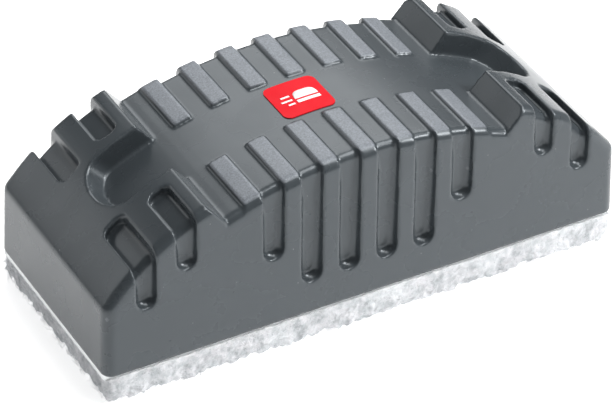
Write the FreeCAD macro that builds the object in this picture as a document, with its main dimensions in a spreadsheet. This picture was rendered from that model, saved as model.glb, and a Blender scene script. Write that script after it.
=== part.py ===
"""Whiteboard eraser: a hollow moulded grip on a base plate, with a felt pad held by hook tape.

Frame: millimetres, +Z up, +X along the length. The origin is the middle of the pad's wiping face.
"""
import FreeCAD, Part
import math
import os

import Sketcher

VALUES = {
    # felt pad and hook tape
    "tape_z": 5.6,
    "tape_long": 34.0,
    "tape_wide": 44.0,
    "tape_pitch": 46.0,
    "tape_play": 0.1,
    "felt_inset": 0.9,
    "felt_corner": 2.2,
    # base plate
    "plate_z": 6.4,
    "plate_inset": 0.5,
    "plate_corner": 2.2,
    "lip_top_z": 13.0,
    "lip_wall": 1.4,
    "lip_play": 0.15,
    # drafted outline of the shell
    "length": 145.0,
    "width": 59.5,
    "rim_z": 8.0,
    "top_z": 66.0,
    "side_lean": 0.026,
    "end_lean": 0.03,
    "corner_round": 2.8,
    "wall": 1.5,
    # arched deck and the ribs on it
    "deck_z": 50.14,
    "deck_radius": 115.0,
    "deck_half_long": 66.0,
    "deck_round": 2.2,
    "rib_rise": 0.95,
    "rib_round": 3.0,
    "rib_pitch": 10.54,
    "rib_inner_y": 9.1,
    "rib_root_z": 40.0,
    # channels in the side walls
    "relief_inset": 2.8,
    "relief_depth": 2.2,
    "relief_round": 2.0,
    "channel_wide": 5.9,
    "long_channel_z": 17.2,
    "short_channel_z": 27.5,
    # end blocks: a convex slope, and an inner face that leans outwards
    "slope_x": 23.47,
    "slope_z": -7.8,
    "slope_radius": 60.0,
    "slope_round": 2.7,
    "notch_x": 39.35,
    "notch_z": 43.2,
    "notch_lean": 0.878,
    # grooves over the long edges of the end blocks
    "groove_wide": 5.4,
    "groove_corner": 1.9,
    "upper_groove_x": 49.9,
    "upper_groove_y": 13.0,
    "upper_groove_z": 33.1,
    "lower_groove_x": 60.8,
    "lower_groove_y": 11.2,
    "lower_groove_z": 25.3,
    # finger recess in each end block
    "recess_low_z": 32.0,
    "recess_low_half": 8.75,
    "recess_low_x": 43.6,
    "recess_high_half": 9.9,
    "recess_high_x": 79.6,
    "recess_inner_x": 30.0,
    # badge on the deck
    "label_long": 14.3,
    "label_wide": 13.7,
    "label_thick": 0.25,
    "label_round": 2.0,
    "label_x": -3.9,
}
RIB_STEPS = range(-3, 4)
SHORT_CHANNEL_STEPS = (-2.5, 2.5)
LONG_CHANNEL_STEPS = (-1.5, -0.5, 0.5, 1.5)
SIDES = (-1, 1)
SIDE_NAMES = {-1: "left", 1: "right"}
TAPE_STEPS = (-1, 0, 1)
TAPE_NAMES = {-1: "left", 0: "middle", 1: "right"}
# how edges are told apart: the least rise of an upright one, the shortest one that is rounded,
# and how near the side walls the long edges run
UPRIGHT_RISE = 0.9
SHORTEST_UPRIGHT = 1.0
SHORTEST_RIM = 0.5
EDGE_BAND = 8.0

doc = FreeCAD.newDocument("board_eraser")
sheet = doc.addObject("Spreadsheet::Sheet", "Sizes")
for row, (alias, value) in enumerate(VALUES.items(), start=1):
    sheet.set("A%d" % row, alias)
    sheet.set("B%d" % row, str(value))
    sheet.setAlias("B%d" % row, alias)
doc.recompute()


def size(alias):
    """A driving dimension, read back from the sheet."""
    return float(sheet.get(alias))


def place(item, x="0", y="0", z="0"):
    """Bind the position of an object to three formulas."""
    item.setExpression("Placement.Base.x", x)
    item.setExpression("Placement.Base.y", y)
    item.setExpression("Placement.Base.z", z)


def fuse(name, parts):
    """Several objects joined into one."""
    item = doc.addObject("Part::MultiFuse", name)
    item.Shapes = parts
    item.Refine = True
    return item


def common(name, parts):
    """The space that several objects share."""
    item = doc.addObject("Part::MultiCommon", name)
    item.Shapes = parts
    return item


def cut(name, base, tool):
    """An object with another one taken away."""
    item = doc.addObject("Part::Cut", name)
    item.Base = base
    item.Tool = tool
    item.Refine = True
    return item


def rounded(name, base, alias, wanted):
    """A fillet, with the radius of one cell, on every edge that the test accepts."""
    doc.recompute()
    radius = size(alias)
    item = doc.addObject("Part::Fillet", name)
    item.Base = base
    item.Edges = [
        (number, radius, radius)
        for number, edge in enumerate(base.Shape.Edges, start=1)
        if wanted(edge)
    ]
    return item


def middle(edge):
    """The point halfway along an edge."""
    return edge.valueAt((edge.FirstParameter + edge.LastParameter) / 2)


def is_upright(edge):
    """Whether an edge runs from bottom to top, leaning a little at most."""
    first = edge.valueAt(edge.FirstParameter)
    last = edge.valueAt(edge.LastParameter)
    span = last - first
    return abs(span.z) > UPRIGHT_RISE * span.Length and span.Length > SHORTEST_UPRIGHT


def box(name, x_low, x_high, y_low, y_high, z_low, z_high):
    """A box between six formulas."""
    item = doc.addObject("Part::Box", name)
    item.setExpression("Length", "(%s) - (%s)" % (x_high, x_low))
    item.setExpression("Width", "(%s) - (%s)" % (y_high, y_low))
    item.setExpression("Height", "(%s) - (%s)" % (z_high, z_low))
    place(item, x_low, y_low, z_low)
    return item


def drafted_block(name, inset, z_low="Sizes.rim_z", z_high="Sizes.top_z"):
    """The shell's outline between two heights, moved inwards by a distance, with its draft."""
    item = doc.addObject("Part::Wedge", name)
    item.Placement.Rotation = FreeCAD.Rotation(FreeCAD.Vector(1, 0, 0), 90)
    item.setExpression("Ymin", z_low)
    item.setExpression("Ymax", z_high)
    for low, high, whole, lean, level in (
        ("Xmin", "Xmax", "length", "end_lean", z_low),
        ("Zmin", "Zmax", "width", "side_lean", z_low),
        ("X2min", "X2max", "length", "end_lean", z_high),
        ("Z2min", "Z2max", "width", "side_lean", z_high),
    ):
        half = "Sizes.%s / 2 - (%s) - Sizes.%s * ((%s) - Sizes.rim_z)" % (whole, inset, lean, level)
        item.setExpression(low, "-(%s)" % half)
        item.setExpression(high, half)
    return item


def cross_cylinder(name, radius, x, z):
    """A long cylinder along Y: the space under an arch."""
    item = doc.addObject("Part::Cylinder", name)
    item.Placement.Rotation = FreeCAD.Rotation(FreeCAD.Vector(1, 0, 0), 90)
    item.setExpression("Radius", radius)
    item.setExpression("Height", "2 * Sizes.width")
    place(item, x, "Sizes.width", z)
    return item


def under_deck(name, offset):
    """The space under the deck's arch, moved outwards by a distance."""
    return cross_cylinder(
        name, "Sizes.deck_radius + (%s)" % offset, "0", "Sizes.deck_z - Sizes.deck_radius"
    )


def under_slope(name, side, offset):
    """The space under one end's slope, moved outwards by a distance."""
    return cross_cylinder(
        name, "Sizes.slope_radius + (%s)" % offset, "%d * Sizes.slope_x" % side, "Sizes.slope_z"
    )


def outline(name, corners):
    """A closed sketch in the XZ plane through points given as pairs of formulas."""
    sketch = doc.addObject("Sketcher::SketchObject", name)
    sketch.Placement.Rotation = FreeCAD.Rotation(FreeCAD.Vector(1, 0, 0), 90)
    return closed_polygon(sketch, corners)


def closed_polygon(sketch, corners):
    """Straight lines through the corners, each corner held by two bound distances."""
    points = [formula_point(corner) for corner in corners]
    count = len(points)
    for index in range(count):
        sketch.addGeometry(Part.LineSegment(points[index], points[(index + 1) % count]), False)
    for index in range(count):
        sketch.addConstraint(Sketcher.Constraint("Coincident", index, 2, (index + 1) % count, 1))
        hold(sketch, index, 1, corners[index])
    return sketch


def formula_point(pair):
    """The point that a pair of formulas gives."""
    return FreeCAD.Vector(sheet.evalExpression(pair[0]), sheet.evalExpression(pair[1]), 0)


def hold(sketch, line, end, pair):
    """Bind one end of a sketch's line to a pair of formulas."""
    point = formula_point(pair)
    for kind, formula, value in (("DistanceX", pair[0], point.x), ("DistanceY", pair[1], point.y)):
        number = sketch.addConstraint(Sketcher.Constraint(kind, line, end, value))
        sketch.setExpression("Constraints[%d]" % number, formula)


def extruded(name, sketch, length):
    """A solid with the sketch as its section, half its length on each side of the sketch."""
    item = doc.addObject("Part::Extrusion", name)
    item.Base = sketch
    item.DirMode = "Normal"
    item.Solid = True
    item.Symmetric = True
    item.setExpression("LengthFwd", length)
    return item


def long_edges(edge):
    """The edges where an arched top meets the two side walls."""
    point = middle(edge)
    far_out = abs(point.y) > size("width") / 2 - EDGE_BAND
    return far_out and edge.Curve.TypeId != "Part::GeomLine" and point.z > size("lip_top_z")


def main_body():
    """Everything under the arched deck, with the long edges rounded."""
    block = drafted_block("deck_block", "0")
    half = "Sizes.deck_half_long"
    span = box("deck_span", "-" + half, half, "-Sizes.width", "Sizes.width", "0", "Sizes.top_z")
    square = common("deck_square", [block, under_deck("deck_arch", "0"), span])
    return rounded("deck_body", square, "deck_round", long_edges)


def relief_block(name):
    """A block with upright sides, which the floors of the channels and grooves lie on."""
    half = "(Sizes.width / 2 - Sizes.relief_inset)"
    return box(name, "-Sizes.length", "Sizes.length", "-" + half, half, "0", "Sizes.top_z")


def relief_core():
    """The body that is left inside the side channels: the deck over set-back side walls."""
    square = common("core_square", [relief_block("core_block"), under_deck("core_arch", "0")])
    return rounded("relief_core", square, "relief_round", long_edges)


def slot(name, x, z, wide):
    """A slot through the whole width, open at the top, with a half-round lower end."""
    upper = box(
        name + "_straight",
        "%s - %s / 2" % (x, wide), "%s + %s / 2" % (x, wide),
        "-Sizes.width", "Sizes.width",
        "%s + %s / 2" % (z, wide), "Sizes.top_z",
    )
    lower = cross_cylinder(name + "_end", wide + " / 2", x, "%s + %s / 2" % (z, wide))
    return fuse(name, [upper, lower])


def side_channels():
    """The channels between the ribs, down both side walls, outside the relief core."""
    slots = []
    for number, step in enumerate(SHORT_CHANNEL_STEPS + LONG_CHANNEL_STEPS, start=1):
        bottom = "Sizes.short_channel_z" if step in SHORT_CHANNEL_STEPS else "Sizes.long_channel_z"
        slots.append(
            slot("channel_%d" % number, "%s * Sizes.rib_pitch" % step, bottom, "Sizes.channel_wide")
        )
    return cut("side_channels", fuse("channel_slots", slots), relief_core())


def grip_ribs():
    """The raised ribs on both sides of the deck, which run out over the long edges."""
    block = drafted_block("rib_block", "0")
    square = common("rib_square", [block, under_deck("rib_arch", "Sizes.rib_rise")])
    level = rounded("rib_level", square, "rib_round", long_edges)
    half = "(Sizes.rib_pitch - Sizes.channel_wide) / 2"
    bars = []
    for number, step in enumerate(RIB_STEPS, start=1):
        across = "%d * Sizes.rib_pitch" % step
        for side, low, high in (
            ("near", "-Sizes.width", "-Sizes.rib_inner_y"),
            ("far", "Sizes.rib_inner_y", "Sizes.width"),
        ):
            bars.append(
                box(
                    "rib_%s_%d" % (side, number),
                    "%s - %s" % (across, half), "%s + %s" % (across, half),
                    low, high,
                    "Sizes.rib_root_z", "Sizes.top_z",
                )
            )
    return common("grip_ribs", [level, fuse("rib_bars", bars)])


def finger_recess(name, side):
    """A tapered prism with a round end, which leans outwards as it rises."""
    levels = []
    for level, z in (("low", "Sizes.recess_low_z"), ("high", "Sizes.top_z")):
        sketch = doc.addObject("Sketcher::SketchObject", "%s_%s" % (name, level))
        sketch.setExpression("Placement.Base.z", z)
        levels.append(round_ended(sketch, side, level))
    item = doc.addObject("Part::Loft", name)
    item.Sections = levels
    item.Solid = True
    item.Ruled = True
    return item


def round_ended(sketch, side, level):
    """Two straight sides and a half circle at the outer end, symmetric about the X axis."""
    inner = "%d * Sizes.recess_inner_x" % side
    outer = "%d * Sizes.recess_%s_x" % (side, level)
    half = "Sizes.recess_%s_half" % level
    first = "%d * %s" % (-side, half)
    second = "%d * %s" % (side, half)
    corners = ((outer, first), (inner, first), (inner, second), (outer, second))
    points = [formula_point(corner) for corner in corners]
    for start, end in zip(points, points[1:]):
        sketch.addGeometry(Part.LineSegment(start, end), False)
    middle_point = (points[0] + points[3]) / 2
    circle = Part.Circle(middle_point, FreeCAD.Vector(0, 0, 1), size("recess_%s_half" % level))
    start_angle = -side * math.pi / 2
    sketch.addGeometry(Part.ArcOfCircle(circle, start_angle, start_angle + math.pi), False)
    for line in (0, 1):
        sketch.addConstraint(Sketcher.Constraint("Coincident", line, 2, line + 1, 1))
    sketch.addConstraint(Sketcher.Constraint("Coincident", 3, 1, 0, 1))
    sketch.addConstraint(Sketcher.Constraint("Coincident", 3, 2, 2, 2))
    for (line, end), corner in zip(((0, 1), (1, 1), (2, 1), (2, 2)), corners):
        hold(sketch, line, end, corner)
    number = sketch.addConstraint(Sketcher.Constraint("DistanceX", 3, 3, middle_point.x))
    sketch.setExpression("Constraints[%d]" % number, outer)
    return sketch


def end_block(side):
    """One end of the shell: a convex slope with a leaning inner face and a finger recess."""
    name = SIDE_NAMES[side]
    block = drafted_block(name + "_end_block", "0")
    upright = rounded(name + "_end_upright", block, "corner_round", is_upright)
    square = common(name + "_end_square", [upright, under_slope(name + "_slope", side, "0")])
    smooth = rounded(name + "_end_smooth", square, "slope_round", rim_edges)
    foot = "%d * Sizes.notch_x" % side
    leaning = "Sizes.notch_x + Sizes.notch_lean * (Sizes.top_z - Sizes.notch_z)"
    sketch = outline(name + "_notch_outline", [
        (foot, "Sizes.rim_z"),
        ("%d * Sizes.length" % side, "Sizes.rim_z"),
        ("%d * Sizes.length" % side, "Sizes.top_z"),
        ("%d * (%s)" % (side, leaning), "Sizes.top_z"),
        (foot, "Sizes.notch_z"),
    ])
    outer = extruded(name + "_notch_side", sketch, "2 * Sizes.width")
    kept = common(name + "_end_kept", [smooth, outer])
    return cut(name + "_end", kept, finger_recess(name + "_recess", side))


def rim_edges(edge):
    """The rim of a slope: its two long edges and the shoulder between them."""
    high = middle(edge).z > size("lip_top_z")
    return high and not is_upright(edge) and edge.Length > SHORTEST_RIM


def groove_core(side):
    """The body that is left inside the grooves of one end."""
    name = SIDE_NAMES[side]
    block = relief_block(name + "_groove_block")
    square = common(
        name + "_groove_square", [block, under_slope(name + "_groove_slope", side, "-Sizes.relief_depth")]
    )
    return rounded(name + "_groove_core", square, "relief_round", long_edges)


def end_grooves(side):
    """Two grooves on each long edge of one end, from a rounded end on the slope down the wall."""
    name = SIDE_NAMES[side]
    bars = []
    for level in ("upper", "lower"):
        x = "%d * Sizes.%s_groove_x" % (side, level)
        z = "Sizes.%s_groove_z" % level
        through = slot("%s_%s_slot" % (name, level), x, z, "Sizes.groove_wide")
        for where, y_side in (("near", -1), ("far", 1)):
            title = "%s_%s_%s" % (name, level, where)
            bar = groove_bar(title, x, "Sizes.%s_groove_y" % level, y_side)
            bars.append(common(title, [through, bar]))
    return cut(name + "_grooves", fuse(name + "_groove_bars", bars), groove_core(side))


def groove_bar(title, x, inner, y_side):
    """An upright bar as wide as a groove, rounded where the groove starts on the slope."""
    low, high = ("-Sizes.width", "-" + inner) if y_side < 0 else (inner, "Sizes.width")
    bar = box(
        title + "_bar",
        x + " - Sizes.groove_wide / 2", x + " + Sizes.groove_wide / 2",
        low, high,
        "Sizes.rim_z", "Sizes.top_z",
    )
    return rounded(title + "_end", bar, "groove_corner", inner_upright(y_side))


def inner_upright(y_side):
    """A test for the two upright edges of a bar that are nearest the middle."""
    def wanted(edge):
        return is_upright(edge) and y_side * middle(edge).y < size("width") / 2
    return wanted


def hollow():
    """The space inside the shell, open at the rim."""
    block = drafted_block("hollow_block", "Sizes.relief_inset + Sizes.wall")
    return common("hollow", [block, under_deck("hollow_arch", "-Sizes.wall")])


def rounded_slab(name, alias, long, wide, z_low, z_high, x="0"):
    """A flat slab with rounded upright corners, centred on a point of the X axis."""
    slab = box(
        name + "_square",
        "%s - (%s) / 2" % (x, long), "%s + (%s) / 2" % (x, long),
        "-(%s) / 2" % wide, "(%s) / 2" % wide,
        z_low, z_high,
    )
    return rounded(name, slab, alias, is_upright)


def shell():
    """The moulded grip."""
    channelled = cut("channelled_body", main_body(), side_channels())
    whole = fuse("shell_whole", [channelled, grip_ribs()] + [end_block(side) for side in SIDES])
    grooved = cut("shell_grooved", whole, fuse("all_grooves", [end_grooves(side) for side in SIDES]))
    return cut("shell_body", grooved, hollow())


def base_plate():
    """The plate under the shell's rim, with a lip that locates it inside the shell."""
    slab = rounded_slab(
        "plate_slab", "plate_corner",
        "Sizes.length - 2 * Sizes.plate_inset", "Sizes.width - 2 * Sizes.plate_inset",
        "Sizes.plate_z", "Sizes.rim_z",
    )
    inset = "Sizes.relief_inset + Sizes.wall + Sizes.lip_play"
    outer = drafted_block("lip_outer", inset, "Sizes.rim_z", "Sizes.lip_top_z")
    inner = drafted_block("lip_inner", inset + " + Sizes.lip_wall", "Sizes.rim_z", "Sizes.lip_top_z")
    return fuse("plate_body", [slab, cut("plate_lip", outer, inner)])


def hook_strip(number, step):
    """A piece of hook tape, stuck to the underside of the plate."""
    x = "%d * Sizes.tape_pitch" % step
    return box(
        "tape_%d" % number,
        x + " - Sizes.tape_long / 2", x + " + Sizes.tape_long / 2",
        "-Sizes.tape_wide / 2", "Sizes.tape_wide / 2",
        "Sizes.tape_z", "Sizes.plate_z",
    )


def felt_pad():
    """The pad, pressed in where the hook tape bites into it."""
    slab = rounded_slab(
        "felt_slab", "felt_corner",
        "Sizes.length - 2 * Sizes.felt_inset", "Sizes.width - 2 * Sizes.felt_inset",
        "0", "Sizes.plate_z",
    )
    dents = []
    for number, step in enumerate(TAPE_STEPS, start=1):
        x = "%d * Sizes.tape_pitch" % step
        half = "(Sizes.tape_long / 2 + Sizes.tape_play)"
        deep = "(Sizes.tape_wide / 2 + Sizes.tape_play)"
        dents.append(
            box(
                "felt_dent_%d" % number,
                "%s - %s" % (x, half), "%s + %s" % (x, half),
                "-" + deep, deep,
                "Sizes.tape_z", "Sizes.plate_z",
            )
        )
    return cut("felt_body", slab, fuse("felt_dents", dents))


def label():
    """The badge, bent over the deck."""
    tile = rounded_slab(
        "badge_outline", "label_round",
        "Sizes.label_long", "Sizes.label_wide",
        "Sizes.rib_root_z", "Sizes.top_z",
        "Sizes.label_x",
    )
    film = cut(
        "badge_film", under_deck("badge_top", "Sizes.label_thick"), under_deck("badge_base", "0")
    )
    return common("badge", [film, tile])


def finish(item, name):
    """Name a finished piece, check it and keep it for writing."""
    doc.recompute()
    item.Label = name
    if item.Shape.isNull() or not item.Shape.isValid():
        raise RuntimeError("%s has no valid shape" % name)
    pieces.append(item)


pieces = []
finish(shell(), "shell")
finish(base_plate(), "base_plate")
for number, step in enumerate(TAPE_STEPS, start=1):
    finish(hook_strip(number, step), "hook_strip_%s" % TAPE_NAMES[step])
finish(felt_pad(), "felt_pad")
finish(label(), "label")

for item in doc.Objects:
    if "Invalid" in item.State or "Error" in item.State:
        raise RuntimeError("%s did not recompute: %s" % (item.Name, item.State))
os.makedirs("parts", exist_ok=True)
for item in pieces:
    item.Shape.exportStep("parts/%s.step" % item.Label)
    print(item.Label, len(item.Shape.Solids), round(item.Shape.Volume, 1))
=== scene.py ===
import math
import random

import bmesh
import bpy
import numpy as np
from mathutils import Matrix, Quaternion, Vector, noise


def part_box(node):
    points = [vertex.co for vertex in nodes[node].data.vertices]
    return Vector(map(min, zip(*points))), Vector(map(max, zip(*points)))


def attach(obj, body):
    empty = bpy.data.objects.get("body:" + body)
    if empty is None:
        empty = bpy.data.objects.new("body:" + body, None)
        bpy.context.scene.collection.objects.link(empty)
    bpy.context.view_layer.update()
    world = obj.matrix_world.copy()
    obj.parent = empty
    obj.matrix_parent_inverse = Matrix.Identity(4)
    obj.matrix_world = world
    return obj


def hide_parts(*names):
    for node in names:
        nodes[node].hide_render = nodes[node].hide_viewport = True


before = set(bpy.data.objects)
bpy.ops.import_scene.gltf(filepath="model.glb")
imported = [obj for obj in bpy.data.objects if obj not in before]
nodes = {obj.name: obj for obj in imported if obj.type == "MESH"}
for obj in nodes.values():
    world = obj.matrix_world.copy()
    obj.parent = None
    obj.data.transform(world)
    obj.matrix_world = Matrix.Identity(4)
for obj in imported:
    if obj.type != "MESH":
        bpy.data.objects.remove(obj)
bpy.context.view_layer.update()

MM = 0.001
shell_low, shell_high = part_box("shell")
plate_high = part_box("base_plate")[1]
felt_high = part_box("felt_pad")[1]
label_low, label_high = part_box("label")
HOOK_STRIPS = ("hook_strip_left", "hook_strip_middle", "hook_strip_right")
hook_boxes = [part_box(name) for name in HOOK_STRIPS]

# the arch of the deck, and what lies on it
DECK_RADIUS = 115 * MM
LABEL_THICK = 0.25 * MM
PRINT_THICK = 0.05 * MM
DECK_CENTRE_Z = label_high.z - LABEL_THICK - DECK_RADIUS

# the convex slopes at both ends
SLOPE_X = 23.47 * MM
SLOPE_Z = -7.8 * MM
SLOPE_RADIUS = 60 * MM

# the ribs, and the channels and grooves in the side walls
RIB_PITCH = 10.54 * MM
RIBS_END = 36 * MM
SIDE_LEAN = 0.026
CHANNEL_HALF = 2.95 * MM
LONG_CHANNEL_STEPS = (-1.5, -0.5, 0.5, 1.5)
LONG_CHANNEL_Z = 17.2 * MM
SHORT_CHANNEL_STEPS = (-2.5, 2.5)
SHORT_CHANNEL_Z = 27.5 * MM
GROOVE_HALF = 2.7 * MM
GROOVES = ((49.9 * MM, 33.1 * MM), (60.8 * MM, 25.3 * MM))

# the camera: where it looks, from which side, and how far away it stands
VIEW_TARGET = Vector((-6.6, -9.24, 25)) * MM
VIEW_AZIMUTH = math.radians(29.72)
VIEW_ELEVATION = math.radians(36.98)
VIEW_ROLL = math.radians(1.2)
VIEW_DISTANCE = 0.8568
VIEW_LENS = 203.2


# ---------------------------------------------------------------- meshes

def piece_from(name, vertices, faces):
    """A new smooth-shaded piece from lists of points and faces."""
    mesh = bpy.data.meshes.new(name)
    mesh.from_pydata([tuple(point) for point in vertices], [], faces)
    mesh.update()
    return piece_with(name, mesh)


def piece_with(name, mesh):
    """A new smooth-shaded piece that shows a mesh."""
    for face in mesh.polygons:
        face.use_smooth = True
    piece = bpy.data.objects.new(name, mesh)
    bpy.context.scene.collection.objects.link(piece)
    return piece


def bake(piece):
    """Replace a piece's mesh by what its modifiers make of it."""
    graph = bpy.context.evaluated_depsgraph_get()
    mesh = bpy.data.meshes.new_from_object(piece.evaluated_get(graph))
    piece.modifiers.clear()
    piece.data = mesh


def remesh(piece, voxel):
    """Rebuild a piece as one smooth skin, with small cells."""
    step = piece.modifiers.new("remesh", "REMESH")
    step.mode = "VOXEL"
    step.voxel_size = voxel
    step.use_smooth_shade = True


def wear(piece, body, material):
    """Put a piece on its body and its only material."""
    piece.data.materials.clear()
    piece.data.materials.append(material)
    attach(piece, body)


def held(value, low=0.0, high=1.0):
    """A value kept between two limits."""
    return min(high, max(low, value))


# ---------------------------------------------------------------- materials

# colours, as linear red, green and blue
GRIP_DARK = (0.038, 0.045, 0.050)
GRIP_PALE = (0.048, 0.056, 0.062)
# rib tops: grain and abrasion, made paler in part as a painted sheen
RIB_TOP_GRAIN_SHEEN_DARK = (0.100, 0.109, 0.122)
RIB_TOP_GRAIN_SHEEN_PALE = (0.200, 0.216, 0.238)
# a painted highlight on the convex edges
EDGE_PAINTED_HIGHLIGHT = (0.24, 0.25, 0.27)
DUST = (0.5, 0.5, 0.5)
GRIP_GLOSS_TINT = (0.90, 0.96, 1.0, 1.0)
PLATE_DARK = (0.86, 0.89, 0.90)
PLATE_PALE = (0.93, 0.95, 0.96)
TAPE_DARK = (0.52, 0.52, 0.51)
TAPE_PALE = (0.80, 0.80, 0.79)
BADGE_RED = ((0.56, 0.003, 0.010), (0.62, 0.005, 0.014))
BADGE_WHITE = ((0.86, 0.86, 0.86), (0.92, 0.92, 0.92))
STAGE_WHITE = ((0.86, 0.86, 0.86), (0.88, 0.88, 0.88))
STAGE_GLOW = (1.0, 1.0, 1.0, 1.0)


def new_material(name):
    made = bpy.data.materials.new(name)
    made.use_nodes = True
    return made


def add(material, kind, inputs=None, **settings):
    """A new node, with some of its inputs set: a value, or another node's output."""
    tree = material.node_tree
    node = tree.nodes.new(kind)
    for name, value in settings.items():
        setattr(node, name, value)
    for name, value in (inputs or {}).items():
        feed(material, node.inputs[name], value)
    return node


def feed(material, socket, value):
    """Set an input to a value, or link it to another node's output."""
    if isinstance(value, bpy.types.NodeSocket):
        material.node_tree.links.new(value, socket)
    else:
        socket.default_value = value


def surface(material):
    return material.node_tree.nodes["Principled BSDF"]


def place(material):
    """The point of the surface, in metres, which moves with the piece."""
    return add(material, "ShaderNodeTexCoord").outputs["Object"]


def clouds(material, scale, detail=2.0, rough=0.5):
    """Smooth noise; scale is in waves per metre."""
    inputs = {
        "Vector": place(material),
        "Scale": scale,
        "Detail": detail,
        "Roughness": rough,
    }
    return add(material, "ShaderNodeTexNoise", inputs).outputs["Fac"]


def span(material, value, from_low, from_high, to_low=0.0, to_high=1.0):
    """A value mapped from one range to another, and held inside it."""
    inputs = {
        "Value": value,
        "From Min": from_low,
        "From Max": from_high,
        "To Min": to_low,
        "To Max": to_high,
    }
    return add(material, "ShaderNodeMapRange", inputs).outputs["Result"]


def calculate(material, operation, first, second):
    """The result of one arithmetic step."""
    made = add(material, "ShaderNodeMath", operation=operation)
    feed(material, made.inputs[0], first)
    feed(material, made.inputs[1], second)
    return made.outputs[0]


def blend(material, factor, first, second):
    """One colour at a factor of 0, the other at 1."""
    made = add(material, "ShaderNodeMix", data_type="RGBA", blend_type="MIX")
    feed(material, made.inputs[0], factor)
    for socket, colour in ((made.inputs[6], first), (made.inputs[7], second)):
        feed(material, socket, colour if isinstance(colour, bpy.types.NodeSocket) else (*colour, 1.0))
    return made.outputs[2]


def bump(material, height, distance, strength=1.0, below=None):
    """A surface direction bent by a height, over another one if it is given."""
    inputs = {"Height": height, "Distance": distance, "Strength": strength}
    if below:
        inputs["Normal"] = below
    return add(material, "ShaderNodeBump", inputs).outputs["Normal"]


def finish_surface(material, **sockets):
    """Set the inputs of a material's surface, named with _ for a space."""
    for name, value in sockets.items():
        socket = surface(material).inputs[name.replace("_", " ")]
        if name == "Base_Color" and not isinstance(value, bpy.types.NodeSocket):
            value = (*value, 1.0)
        feed(material, socket, value)
    return material


def painted_edge_highlight(material, low, high):
    """How far a point is on a convex edge, from 0 to 1, broken up by noise: where a painted highlight
    lies.
    """
    geometry = add(material, "ShaderNodeNewGeometry")
    edge = span(material, geometry.outputs["Pointiness"], low, high)
    patches = span(material, clouds(material, 420.0, detail=3.0), 0.35, 0.65)
    return calculate(material, "MULTIPLY", edge, patches)


def above_deck(material, low, high):
    """How far a point is above the arch of the deck, from 0 to 1 between two heights."""
    parts = add(material, "ShaderNodeSeparateXYZ", {"Vector": place(material)})
    up = calculate(material, "SUBTRACT", parts.outputs["Z"], DECK_CENTRE_Z)
    across = calculate(material, "POWER", parts.outputs["X"], 2.0)
    squares = calculate(material, "ADD", across, calculate(material, "POWER", up, 2.0))
    radius = calculate(material, "SQRT", squares, 0.0)
    raised = span(material, radius, DECK_RADIUS + low, DECK_RADIUS + high)
    aside = calculate(material, "ABSOLUTE", parts.outputs["X"], 0.0)
    within_ribs = span(material, aside, RIBS_END, RIBS_END - 0.2 * MM)
    return calculate(material, "MULTIPLY", raised, within_ribs)


def dust(material, cells, size):
    """Sparse round specks: 1 inside a speck, 0 elsewhere."""
    dots = add(material, "ShaderNodeTexVoronoi", {"Vector": place(material), "Scale": cells})
    return span(material, dots.outputs["Distance"], size, size * 0.4)


def grip_plastic():
    """Dark satin moulded plastic, grained on its rib tops, which are paler partly from abrasion and
    partly as a painted sheen, with a painted highlight on its edges.
    """
    made = new_material("grip_plastic")
    colour = blend(made, clouds(made, 38.0, detail=3.0), GRIP_DARK, GRIP_PALE)
    rib_top = above_deck(made, 0.35 * MM, 0.75 * MM)
    grain = clouds(made, 2300.0, detail=2.0, rough=0.7)
    # the rib tops' grain, paler partly from abrasion and partly as a painted sheen
    grain_and_sheen = blend(made, span(made, grain, 0.3, 0.7), RIB_TOP_GRAIN_SHEEN_DARK, RIB_TOP_GRAIN_SHEEN_PALE)
    colour = blend(made, rib_top, colour, grain_and_sheen)
    # convex edges made paler in patches: a painted highlight
    edge_highlight = calculate(made, "MULTIPLY", painted_edge_highlight(made, 0.53, 0.61), 0.35)
    colour = blend(made, edge_highlight, colour, EDGE_PAINTED_HIGHLIGHT)
    specks = calculate(made, "MULTIPLY", dust(made, 210.0, 0.035), 0.5)
    colour = blend(made, specks, colour, DUST)
    smooth = span(made, clouds(made, 90.0, detail=4.0), 0.3, 0.7, to_low=0.24, to_high=0.31)
    rough = calculate(made, "ADD", smooth, calculate(made, "MULTIPLY", rib_top, 0.12))
    fine = bump(made, clouds(made, 1100.0), 0.006 * MM, strength=0.5)
    deep = calculate(made, "MULTIPLY", grain, rib_top)
    normal = bump(made, deep, 0.035 * MM, below=fine)
    return finish_surface(
        made, Base_Color=colour, Roughness=rough, Normal=normal, Specular_Tint=GRIP_GLOSS_TINT
    )


def plate_plastic():
    """Smooth white plastic, slightly uneven in gloss."""
    made = new_material("plate_plastic")
    colour = blend(made, clouds(made, 60.0, detail=3.0), PLATE_DARK, PLATE_PALE)
    rough = span(made, clouds(made, 140.0, detail=3.0), 0.3, 0.7, to_low=0.28, to_high=0.38)
    normal = bump(made, clouds(made, 900.0), 0.008 * MM, strength=0.5)
    return finish_surface(made, Base_Color=colour, Roughness=rough, Normal=normal)


def threads(material, direction):
    """Parallel raised threads, as wavy bands along one direction."""
    wave = add(
        material, "ShaderNodeTexWave",
        {"Vector": place(material), "Scale": 300.0, "Distortion": 0.6, "Detail": 1.0},
        wave_type="BANDS", bands_direction=direction,
    )
    return wave.outputs["Fac"]


def hook_tape():
    """Woven tape of fine crossing threads."""
    made = new_material("hook_tape")
    weave = calculate(made, "MAXIMUM", threads(made, "X"), threads(made, "Y"))
    colour = blend(made, weave, TAPE_DARK, TAPE_PALE)
    normal = bump(made, weave, 0.15 * MM, strength=0.9)
    return finish_surface(made, Base_Color=colour, Roughness=0.7, Normal=normal)


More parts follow.
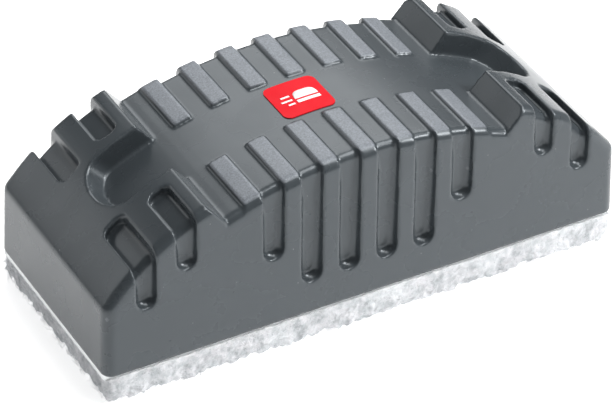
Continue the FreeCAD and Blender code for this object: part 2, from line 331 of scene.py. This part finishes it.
def felt(name, lightness):
    """Loose white fibres with bluish-grey painted shade between the tufts, and dark specks between
    them.
    """
    made = new_material(name)

    def tone(red, green, blue):
        return (lightness * red, lightness * green, lightness * blue)

    # the bluish grey between the tufts is painted shade
    tufts_and_shade = span(made, clouds(made, 420.0, detail=4.0, rough=0.65), 0.36, 0.60)
    colour = blend(made, tufts_and_shade, tone(0.55, 0.58, 0.60), tone(0.86, 0.86, 0.885))
    patches = calculate(made, "MULTIPLY", span(made, clouds(made, 95.0, detail=2.0), 0.45, 0.7), 0.5)
    colour = blend(made, patches, colour, tone(0.90, 0.93, 0.95))
    specks = span(made, clouds(made, 1300.0, detail=3.0, rough=0.6), 0.40, 0.30)
    colour = blend(made, calculate(made, "MULTIPLY", specks, 0.6), colour, tone(0.30, 0.33, 0.35))
    normal = bump(made, clouds(made, 900.0, detail=4.0, rough=0.7), 0.35 * MM, strength=0.8)
    return finish_surface(made, Base_Color=colour, Roughness=0.95, Normal=normal, Sheen_Weight=0.2)


def badge_film(name, colours):
    """Printed film with a low gloss, mottled between two close colours."""
    made = new_material(name)
    colour = blend(made, clouds(made, 220.0, detail=3.0), *colours)
    rough = span(made, clouds(made, 300.0, detail=3.0), 0.3, 0.7, to_low=0.42, to_high=0.52)
    normal = bump(made, clouds(made, 1200.0), 0.006 * MM, strength=0.5)
    return finish_surface(
        made, Base_Color=colour, Roughness=rough, Normal=normal, Specular_IOR_Level=0.1
    )


def stage_paint():
    """The white top of a light table, which glows a little."""
    made = new_material("stage_paint")
    colour = blend(made, clouds(made, 3.0), *STAGE_WHITE)
    return finish_surface(
        made, Base_Color=colour, Roughness=0.6, Emission_Color=STAGE_GLOW, Emission_Strength=0.66
    )


# ---------------------------------------------------------------- grip

SHELL_VOXEL = 0.42 * MM
WELD = 0.002 * MM
SOFTEN_ROUNDS = 3

# the rounded section of the channels and grooves; shares are of half the width or of the depth
TROUGH_FLOOR_Y = shell_high.y - 2.8 * MM
FLAT_SHARE = 0.4
WIDEST_SHARE = 1.15
DEEPEST_SHARE = 1.25
HOLLOW_SHARE = 0.55
RIM_SHARE = 0.04
RIM_WIDTH_SHARE = 0.16
FADE_START = 3.0 * MM
FADE_LENGTH = 4.0 * MM


def shell_moulding(material):
    """The shell with every edge and corner rounded off, as it comes out of a mould."""
    piece = piece_with("shell_moulding", welded_copy(nodes["shell"].data, "shell_moulding"))
    remesh(piece, SHELL_VOXEL)
    soften = piece.modifiers.new("soften", "SMOOTH")
    soften.factor = 0.5
    soften.iterations = SOFTEN_ROUNDS
    bake(piece)
    hollow_troughs(piece.data)
    wear(piece, "eraser_body", material)
    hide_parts("shell")


def welded_copy(mesh, name):
    """A copy of a mesh whose faces share their corners, with no stored sharp edges or normals."""
    copied = mesh.copy()
    copied.name = name
    welded = bmesh.new()
    welded.from_mesh(copied)
    bmesh.ops.remove_doubles(welded, verts=welded.verts, dist=WELD)
    welded.to_mesh(copied)
    welded.free()
    for stored in ("sharp_edge", "sharp_face", "custom_normal"):
        if stored in copied.attributes:
            copied.attributes.remove(copied.attributes[stored])
    return copied


def troughs():
    """Each channel and groove of the side walls: its x, half its width and its lowest z."""
    found = [(step * RIB_PITCH, CHANNEL_HALF, LONG_CHANNEL_Z) for step in LONG_CHANNEL_STEPS]
    found += [(step * RIB_PITCH, CHANNEL_HALF, SHORT_CHANNEL_Z) for step in SHORT_CHANNEL_STEPS]
    found += [(side * x, GROOVE_HALF, low) for side in (-1, 1) for x, low in GROOVES]
    return found


def wall_top(x):
    """The height of the shell's upper surface at each x, over the middle or over an end."""
    deck = DECK_CENTRE_Z + np.sqrt(np.maximum(0, DECK_RADIUS ** 2 - x ** 2))
    slope = SLOPE_Z + np.sqrt(np.maximum(0, SLOPE_RADIUS ** 2 - (np.abs(x) - SLOPE_X) ** 2))
    return np.where(np.abs(x) > RIBS_END, slope, deck)


def hollow_troughs(mesh):
    """Turn the square section of the channels and grooves into a rounded trough."""
    points = np.empty(len(mesh.vertices) * 3, np.float32)
    mesh.vertices.foreach_get("co", points)
    points = points.reshape(-1, 3).astype(float)
    start = points.copy()
    for middle, half, low in troughs():
        hollow_trough(points, start, middle, half, low)
    mesh.vertices.foreach_set("co", points.astype(np.float32).ravel())
    mesh.update()


def hollow_trough(points, start, middle, half, low):
    """Move the points of one channel or groove, on both side walls, onto its rounded section."""
    x, y, z = start.T
    wall = shell_high.y - SIDE_LEAN * (z - shell_low.z)
    relief = wall - TROUGH_FLOOR_Y
    depth = (wall - np.abs(y)) / relief
    below = np.minimum(0, z - low - half)
    aside = x - middle
    reach = np.hypot(aside, below)
    flat = FLAT_SHARE * half
    across = (reach - flat) / (half - flat)
    inside = (reach > flat) & (across < WIDEST_SHARE) & (z > low - MM)
    inside &= (depth > 0) & (depth < DEEPEST_SHARE)
    inside &= np.maximum(across, depth) > HOLLOW_SHARE
    fade = np.clip((wall_top(x) - z - FADE_START) / FADE_LENGTH, 0, 1)
    share = fade * np.clip((depth - RIM_SHARE) / RIM_WIDTH_SHARE, 0, 1)
    size = np.where(inside, 1 + share * (1 / np.maximum(np.hypot(across, depth), 0.1) - 1), 1)
    wanted = flat + (half - flat) * across * size
    pull = np.where(inside, wanted / np.maximum(reach, 1e-6), 1)
    sunk = wall - relief * depth * size
    points[:, 0] = np.where(inside, middle + aside * pull, points[:, 0])
    points[:, 1] = np.where(inside, np.sign(y) * sunk, points[:, 1])
    points[:, 2] = np.where(inside, z + below * (pull - 1), points[:, 2])


# ---------------------------------------------------------------- badge print

PRINT_COLUMNS = 24

# the pictogram's edges, as distances along and across the eraser from the badge's middle
BLOCK_START = -1.4 * MM
BLOCK_END = 5.0 * MM
BLOCK_BASE = -0.6 * MM
BLOCK_SHOULDER = 0.1
BLOCK_RISE = 2.3
STRIP_LOW = -2.3 * MM
STRIP_HIGH = -1.2 * MM
STROKE_END = -2.2 * MM
STROKE_HALF = 0.3 * MM
STROKES = ((1.2 * MM, -4.6 * MM), (-0.5 * MM, -5.2 * MM), (-2.1 * MM, -4.0 * MM))


def on_badge(across, along, lift):
    """A point over the badge: across is along the eraser, lift is above the film."""
    radius = DECK_RADIUS + LABEL_THICK + lift
    middle = (label_low + label_high) / 2
    x = middle.x + across
    return Vector((x, middle.y + along, DECK_CENTRE_Z + math.sqrt(radius ** 2 - x ** 2)))


def printed(name, start, end, lower, upper, material):
    """A thin print on the badge, between two outlines given as functions of the distance across."""
    vertices = []
    for column in range(PRINT_COLUMNS + 1):
        across = start + (end - start) * column / PRINT_COLUMNS
        for edge in (lower, upper):
            for lift in (0.0, PRINT_THICK):
                vertices.append(on_badge(across, edge(across), lift))
    faces = []
    for column in range(PRINT_COLUMNS):
        here, there = 4 * column, 4 * (column + 1)
        faces.append((here + 1, there + 1, there + 3, here + 3))
        faces.append((here, here + 2, there + 2, there))
        faces.append((here, there, there + 1, here + 1))
        faces.append((here + 2, here + 3, there + 3, there + 2))
    last = 4 * PRINT_COLUMNS
    faces.append((0, 1, 3, 2))
    faces.append((last, last + 2, last + 3, last + 1))
    wear(piece_from(name, vertices, faces), "eraser_body", material)


def level(height):
    """A straight outline of a print, at one height."""
    return lambda across: height


def block_top(across):
    """The arched top of the pictogram's block."""
    middle, half = (BLOCK_START + BLOCK_END) / 2, (BLOCK_END - BLOCK_START) / 2
    bow = math.sqrt(max(0.0, 1 - ((across - middle) / half) ** 4))
    return (BLOCK_SHOULDER + BLOCK_RISE * bow) * MM


def badge_prints(material):
    """A plain pictogram: an arched block over a wiping strip, and three strokes behind it."""
    printed("badge_block", BLOCK_START, BLOCK_END, level(BLOCK_BASE), block_top, material)
    printed("badge_strip", BLOCK_START, BLOCK_END, level(STRIP_LOW), level(STRIP_HIGH), material)
    for number, (height, start) in enumerate(STROKES, start=1):
        lower, upper = level(height - STROKE_HALF), level(height + STROKE_HALF)
        printed("badge_stroke_%d" % number, start, STROKE_END, lower, upper, material)


# ---------------------------------------------------------------- felt pad

FELT_VOXEL = 0.42 * MM
FELT_CORNER = 2.2 * MM
FELT_STEP = 1.0 * MM
FELT_LIGHTNESS = 0.82
STRAND_LIGHTNESS = 0.92
PLATE_PLAY = 0.12 * MM
FRINGE = 0.6 * MM
BITE = 0.1 * MM

# the edge of the pad: where it counts as a long side, and how far it swells or is tucked in
LONG_SIDE = 0.2
SIDE_BULGE = 1.25
END_TUCK = 0.1
LOFT_DEPTH = 3.0 * MM
UNDER_RIM = 0.2 * MM
BROW = 0.3 * MM

# where the rough edge starts inside the pad's outline, and over what width it grows
EDGE_START = 1.6 * MM
EDGE_WIDTH = 1.4 * MM

# each size of lump on the pad's edge: its push, what is added low down, and a shift of the noise
LUMPS = (
    (4.5 * MM, 0.35, 0.5, 0.0),
    (1.8 * MM, 0.30, 0.6, 7.0),
    (0.95 * MM, 0.22, 0.4, 13.0),
)
END_LUMPS = 0.45
CALM_START = 5.0 * MM
CALM_SHARE = 0.6

# the ragged lower edge: how high it reaches, its mean lift, and each size of wave in it
RAG_HEIGHT = 2.2 * MM
RAG_LIFT = 0.45
RAGS = ((3.4 * MM, 1.2, 21.0), (1.3 * MM, 0.9, 31.0))

# the top: how high its raised brim is, how much it wavers, and the dimples inside it
CREST_HEIGHT = 1.2 * MM
CREST_WAVE = 1.5 * MM
CREST_WAVER = 0.25
CREST_SHIFT = 41.0
DIMPLE_WAVE = 2.2 * MM
DIMPLE_DEPTH = 0.12 * MM
TOP_PLAY = 0.05 * MM


def felt_outline(step):
    """Points round the pad's edge, each with its outward direction."""
    half_x = felt_high.x - FELT_CORNER
    half_y = felt_high.y - FELT_CORNER
    centres = ((half_x, half_y), (-half_x, half_y), (-half_x, -half_y), (half_x, -half_y))
    quarter = math.pi / 2
    turns = max(2, round(quarter * FELT_CORNER / step))
    found = []
    for corner, (x, y) in enumerate(centres):
        for turn in range(turns + 1):
            angle = quarter * (corner + turn / turns)
            outward = Vector((math.cos(angle), math.sin(angle), 0.0))
            found.append((Vector((x, y, 0.0)) + FELT_CORNER * outward, outward))
        run = 2 * (half_x if corner % 2 == 0 else half_y)
        along = Vector((-outward.y, outward.x, 0.0))
        start = found[-1][0]
        pieces = round(run / step)
        for number in range(1, pieces):
            found.append((start + along * run * number / pieces, outward))
    return found


def side_share(outward):
    """1 on the long sides of the pad, 0 on its short ends."""
    return held((abs(outward.y) - 0.25) / 0.6)


def felt_section(outward):
    """The section of the pad's edge as (outwards, up) pairs from the wiping face to the top."""
    share = side_share(outward)
    bulge = (SIDE_BULGE * share - END_TUCK) * MM
    top = felt_high.z - BITE
    crest = top + (shell_low.z - UNDER_RIM - top) * share
    if share > LONG_SIDE:
        clear = plate_high.y - felt_high.y + PLATE_PLAY
        brow = max(clear + BROW, 0.95 * bulge)
    else:
        clear = 0.0
        brow = 0.3 * bulge
    return (
        (-LOFT_DEPTH, 0.0),
        (0.5 * bulge, 0.0),
        (0.9 * bulge, 0.3 * MM),
        (bulge, 1.2 * MM),
        (bulge, 2.8 * MM),
        (bulge, 4.6 * MM),
        (bulge, top - 0.5 * MM),
        (brow, crest),
        (clear, crest),
        (clear, top),
        (-LOFT_DEPTH, top),
    )


def felt_block():
    """The pad before it is roughened: a closed loft round its edge, with flat faces."""
    vertices, faces = [], []
    ring = felt_outline(FELT_STEP)
    count = len(felt_section(ring[0][1]))
    for point, outward in ring:
        for out, up in felt_section(outward):
            vertices.append(point + outward * out + Vector((0.0, 0.0, up)))
    for number in range(len(ring)):
        here, there = number * count, (number + 1) % len(ring) * count
        for step in range(count - 1):
            faces.append((here + step, there + step, there + step + 1, here + step + 1))
    faces.append(tuple(reversed(range(0, len(vertices), count))))
    faces.append(tuple(range(count - 1, len(vertices), count)))
    return piece_from("felt_fleece", vertices, faces)


def outwards(x, y):
    """The outward direction at a point near the pad's edge, and its distance outside the outline."""
    half_x = felt_high.x - FELT_CORNER
    half_y = felt_high.y - FELT_CORNER
    over = Vector((max(0.0, abs(x) - half_x), max(0.0, abs(y) - half_y), 0.0))
    if over.length < 1e-9:
        return Vector((0.0, 0.0, 0.0)), -FELT_CORNER
    distance = over.length - FELT_CORNER
    direction = over.normalized()
    return Vector((math.copysign(direction.x, x), math.copysign(direction.y, y), 0.0)), distance


def waves(point, size, shift=0.0):
    """Smooth noise between about -1 and 1 with bumps of one size."""
    return noise.noise(point / size + Vector((shift, shift, shift)))


def roughened(point):
    """A point of the pad's surface, pushed about as loose fibres would leave it."""
    outward, distance = outwards(point.x, point.y)
    edge = held((distance + EDGE_START) / EDGE_WIDTH)
    if edge > 0:
        moved = roughened_edge(point, outward, edge)
    else:
        moved = point.copy()
        inward = 1 if point.z < MM else -1
        moved.z += DIMPLE_DEPTH * max(0.0, waves(point, DIMPLE_WAVE)) * inward
    return under_tape(moved, point)


def roughened_edge(point, outward, edge):
    """A point near the pad's edge, pushed out by lumps, and lifted where the lower edge is ragged."""
    moved = point.copy()
    low = max(0.0, 1 - point.z / RAG_HEIGHT)
    high = held((point.z - CALM_START) / MM)
    lumps = 0.0
    for size, push, more, shift in LUMPS:
        lumps += waves(point, size, shift) * (push + more * low)
    lumps *= 1 - CALM_SHARE * high
    share = END_LUMPS + (1 - END_LUMPS) * side_share(outward)
    moved += outward * lumps * share * edge * MM
    lift = RAG_LIFT
    for size, rise, shift in RAGS:
        lift += rise * waves(point, size, shift)
    moved.z += max(0.0, lift) * low * edge * MM
    crest = max(0.0, (point.z - felt_high.z) / CREST_HEIGHT)
    moved.z += CREST_WAVER * waves(point, CREST_WAVE, CREST_SHIFT) * crest * MM
    if point.z > felt_high.z - BITE and side_share(outward) > LONG_SIDE:
        keep = plate_high.y + PLATE_PLAY
        if abs(moved.y) < keep < abs(point.y) + BROW:
            moved.y = math.copysign(keep, point.y)
    return moved


def under_tape(moved, point):
    """The point lowered where the hook tape bites into the top of the pad."""
    for low, high in hook_boxes:
        inside_x = low.x - FRINGE < point.x < high.x + FRINGE
        inside_y = low.y - FRINGE < point.y < high.y + FRINGE
        if point.z > low.z - BITE and inside_x and inside_y:
            moved.z = low.z - BITE
    if abs(point.x) < felt_high.x - FRINGE and abs(point.y) < felt_high.y - FRINGE:
        moved.z = min(moved.z, felt_high.z - TOP_PLAY)
    moved.z = max(0.0, moved.z)
    return moved


def felt_fleece(material):
    """The pad: a dense fleece with lumpy sides and a ragged lower edge."""
    piece = felt_block()
    remesh(piece, FELT_VOXEL)
    bake(piece)
    for vertex in piece.data.vertices:
        vertex.co = roughened(vertex.co)
    wear(piece, "refill_pad", material)
    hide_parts("felt_pad")


# ---------------------------------------------------------------- loose strands

FIBRES = 5200
FIBRE_SEED = 11
FIBRE_RADIUS = 0.04 * MM
FIBRE_JOINTS = 4
FIBRE_SIDES = 3
FIBRE_RING_STEP = 0.5 * MM
RIM_PLAY = 0.15 * MM
SIDEWAYS = Vector((0.3, 0.5, 0.81))

# the ranges that the strands are drawn from, with lengths in millimetres
LOWEST, HIGHEST, HIGHER_ON_SIDES = 0.1, 6.0, 1.4
OUT_AT_ENDS, OUT_MORE_ON_SIDES, OUT_SPREAD = 0.35, 0.85, 0.25
FOOT_FULLNESS = 0.75
FOOT_HEIGHT = 2.6 * MM
SHORTEST, LONGEST = 0.9, 2.6
WIDEST_TURN = 1.6
INWARD_LIFT, OUTWARD_LIFT = -0.10, 0.30
THINNEST, THICKEST = 0.6, 1.2


def fibre_path(draw, ring):
    """A short curved strand on the side of the pad, from a seeded draw."""
    point, outward = ring[draw.randrange(len(ring))]
    share = side_share(outward)
    along = Vector((-outward.y, outward.x, 0.0))
    height = draw.uniform(LOWEST, HIGHEST + HIGHER_ON_SIDES * share) * MM
    fullness = min(1.0, FOOT_FULLNESS + height / FOOT_HEIGHT)
    out = (OUT_AT_ENDS + OUT_MORE_ON_SIDES * share) * MM * fullness
    out += draw.uniform(-OUT_SPREAD, OUT_SPREAD) * MM
    start = point + outward * out + Vector((0.0, 0.0, height))
    angle = draw.uniform(0.0, 2 * math.pi)
    length = draw.uniform(SHORTEST, LONGEST) * MM
    turn = draw.uniform(-WIDEST_TURN, WIDEST_TURN)
    lift = draw.uniform(INWARD_LIFT, OUTWARD_LIFT)
    path = [start]
    for joint in range(FIBRE_JOINTS):
        heading = angle + turn * joint / FIBRE_JOINTS
        step = along * math.cos(heading) + Vector((0.0, 0.0, math.sin(heading))) + outward * lift
        path.append(path[-1] + step * length / FIBRE_JOINTS)
    return [clear_of_shell(spot, outward) for spot in path]


def clear_of_shell(spot, outward):
    """A fibre's point kept above the floor, and below or outside the plate and the rim."""
    kept = spot.copy()
    share = side_share(outward)
    kept.z = min(max(kept.z, FIBRE_RADIUS), shell_low.z - 0.1 * MM + 0.5 * MM * share)
    if kept.z > felt_high.z - 0.2 * MM:
        rim = shell_high.y + RIM_PLAY
        if share <= LONG_SIDE:
            kept.z = felt_high.z - 0.2 * MM
        elif abs(kept.y) < rim and kept.z > shell_low.z - 0.2 * MM:
            kept.y = math.copysign(rim, kept.y)
    return kept


def felt_fibres(material):
    """Loose strands on the sides of the pad, as one piece."""
    draw = random.Random(FIBRE_SEED)
    ring = felt_outline(FIBRE_RING_STEP)
    vertices, faces = [], []
    for number in range(FIBRES):
        path = fibre_path(draw, ring)
        add_strand(vertices, faces, path, FIBRE_RADIUS * draw.uniform(THINNEST, THICKEST))
    wear(piece_from("felt_fibres", vertices, faces), "refill_pad", material)


def add_strand(vertices, faces, path, radius):
    """A thin closed tube along a path, added to lists of points and faces."""
    first = len(vertices)
    for joint, spot in enumerate(path):
        before, after = path[max(0, joint - 1)], path[min(len(path) - 1, joint + 1)]
        heading = (after - before).normalized()
        side = heading.cross(SIDEWAYS).normalized()
        other = heading.cross(side)
        for corner in range(FIBRE_SIDES):
            angle = 2 * math.pi * corner / FIBRE_SIDES
            vertices.append(spot + radius * (side * math.cos(angle) + other * math.sin(angle)))
    for joint in range(len(path) - 1):
        here = first + joint * FIBRE_SIDES
        there = here + FIBRE_SIDES
        for corner in range(FIBRE_SIDES):
            following = (corner + 1) % FIBRE_SIDES
            faces.append((here + corner, here + following, there + following, there + corner))
    last = first + (len(path) - 1) * FIBRE_SIDES
    faces.append(tuple(first + corner for corner in reversed(range(FIBRE_SIDES))))
    faces.append(tuple(last + corner for corner in range(FIBRE_SIDES)))


# ---------------------------------------------------------------- stage

FLOOR_HALF = 3.0
LAMP_DISTANCE = 1.0
LAMP_AIM = Vector((0.0, 0.0, 0.02))
ROOM_COLOUR = (0.97, 0.98, 1.0, 1.0)
ROOM_LIGHT = 0.10
BACKDROP_LIGHT = 1.0

# each lamp's name, azimuth and elevation in degrees, width and height in metres, and power in watts
LAMPS = (
    ("back_light", 156, 41, 0.85, 0.45, 4.2),
    ("back_left_light", 222, 20, 0.5, 0.4, 1.0),
    ("right_light", 56, 38, 0.24, 0.34, 7.5),
    ("top_light", 70, 72, 0.6, 0.6, 9.5),
)


def towards(azimuth, elevation):
    """The direction from the object at two angles; azimuth 0 is in front, and positive is right."""
    across, ahead = math.sin(azimuth), -math.cos(azimuth)
    level_share = math.cos(elevation)
    return Vector((across * level_share, ahead * level_share, math.sin(elevation)))


def camera():
    """The camera, aimed from its azimuth and elevation, with a small roll."""
    made = bpy.data.cameras.new("camera")
    made.lens = VIEW_LENS
    made.sensor_width = 36.0
    made.clip_start = 0.01
    made.clip_end = 20.0
    back = towards(-VIEW_AZIMUTH, VIEW_ELEVATION)
    item = bpy.data.objects.new("camera", made)
    bpy.context.scene.collection.objects.link(item)
    item.location = VIEW_TARGET + back * VIEW_DISTANCE
    item.rotation_mode = "QUATERNION"
    upright = (-back).to_track_quat("-Z", "Y")
    item.rotation_quaternion = upright @ Quaternion((0.0, 0.0, 1.0), VIEW_ROLL)
    bpy.context.scene.camera = item


def floor(material):
    """A wide flat floor that the object stands on."""
    half = FLOOR_HALF
    corners = [(-half, -half, 0), (half, -half, 0), (half, half, 0), (-half, half, 0)]
    piece = piece_from("floor", corners, [(0, 1, 2, 3)])
    piece.data.materials.append(material)


def softbox(name, azimuth, elevation, wide, tall, watts):
    """A rectangular lamp that faces the object."""
    made = bpy.data.lights.new(name, "AREA")
    made.shape = "RECTANGLE"
    made.size = wide
    made.size_y = tall
    made.energy = watts
    away = towards(math.radians(azimuth), math.radians(elevation))
    item = bpy.data.objects.new(name, made)
    bpy.context.scene.collection.objects.link(item)
    item.location = away * LAMP_DISTANCE + LAMP_AIM
    item.rotation_mode = "QUATERNION"
    item.rotation_quaternion = away.to_track_quat("Z", "Y")


def surroundings():
    """A dim white room, which the camera sees as a bright backdrop."""
    world = bpy.data.worlds.new("studio")
    world.use_nodes = True
    tree = world.node_tree
    room = tree.nodes["Background"]
    room.inputs["Color"].default_value = ROOM_COLOUR
    room.inputs["Strength"].default_value = ROOM_LIGHT
    bright = tree.nodes.new("ShaderNodeBackground")
    bright.inputs["Strength"].default_value = BACKDROP_LIGHT
    rays = tree.nodes.new("ShaderNodeLightPath")
    both = tree.nodes.new("ShaderNodeMixShader")
    tree.links.new(rays.outputs["Is Camera Ray"], both.inputs[0])
    tree.links.new(room.outputs["Background"], both.inputs[1])
    tree.links.new(bright.outputs["Background"], both.inputs[2])
    tree.links.new(both.outputs["Shader"], tree.nodes["World Output"].inputs["Surface"])
    bpy.context.scene.world = world


def plain_picture():
    """Colours as they are, with no film look."""
    view = bpy.context.scene.view_settings
    view.view_transform = "Standard"
    view.look = "None"


def paint(node, material):
    """Give a CAD piece that is shown as it is its only material."""
    nodes[node].data.materials.clear()
    nodes[node].data.materials.append(material)


plain_picture()
camera()
floor(stage_paint())
for lamp in LAMPS:
    softbox(*lamp)
surroundings()
shell_moulding(grip_plastic())
paint("base_plate", plate_plastic())
tape = hook_tape()
for strip in HOOK_STRIPS:
    paint(strip, tape)
paint("label", badge_film("badge_red", BADGE_RED))
badge_prints(badge_film("badge_white", BADGE_WHITE))
felt_fleece(felt("felt", FELT_LIGHTNESS))
felt_fibres(felt("felt_strands", STRAND_LIGHTNESS))
